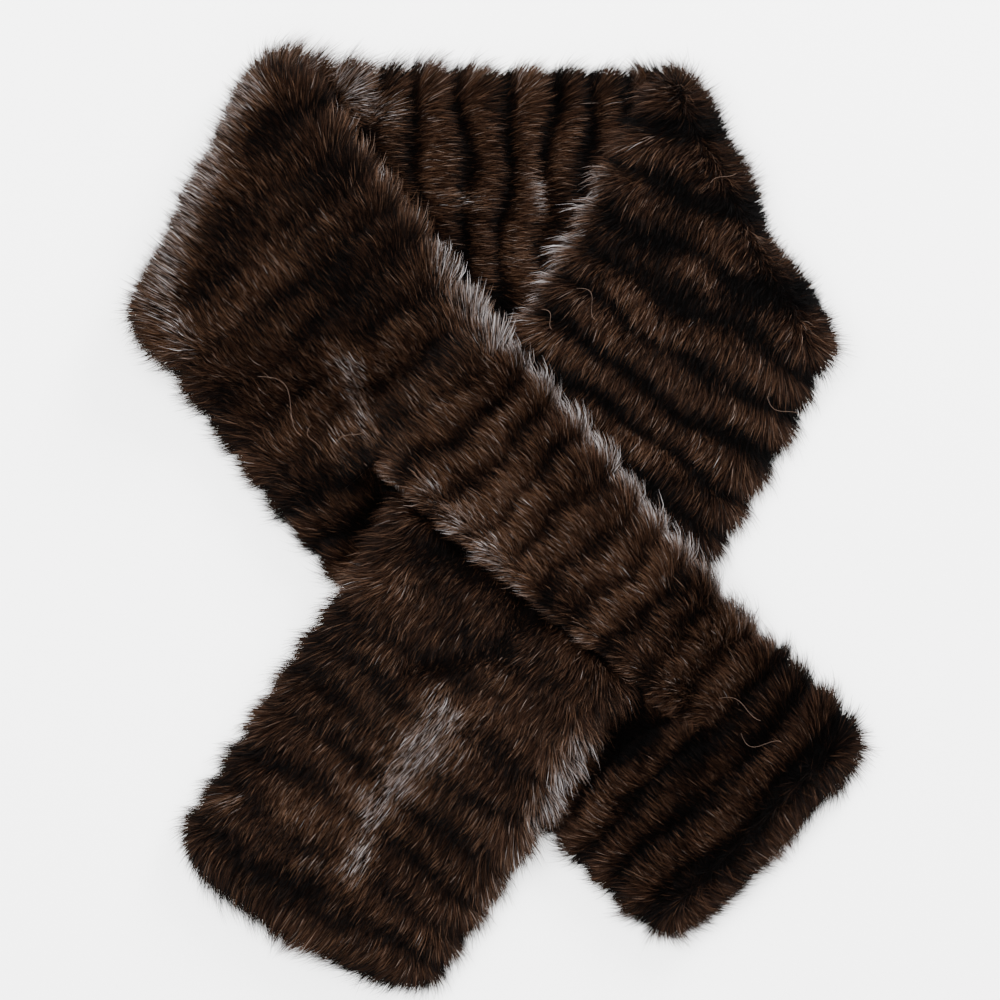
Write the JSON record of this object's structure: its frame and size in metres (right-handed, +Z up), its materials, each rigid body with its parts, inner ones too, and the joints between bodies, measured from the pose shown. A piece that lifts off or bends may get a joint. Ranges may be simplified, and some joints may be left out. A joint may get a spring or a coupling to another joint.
{
  "type": "fur collar wrap",
  "caption": "Ribbed double-faced fur collar wrap laid flat, folded round the neck opening, with one tail pulled through a lengthwise slot in the other front.",
  "frame": {"origin": "middle of the plan at table height", "axes": "+Z up from the table, +Y towards the back of the neck, +X to the right as seen from above"},
  "size_m": [0.3434, 0.4392, 0.0433],
  "materials": {
    "fur": "dark brown fur with a soft silver sheen, rough"
  },
  "bodies": {
    "root": {"back_neck": "fur", "left_front": "fur", "slot_bridge": "fur", "slot_lower_lip": "fur", "right_tail": "fur", "right_front": "fur", "left_tail": "fur"}
  },
  "joints": []
}
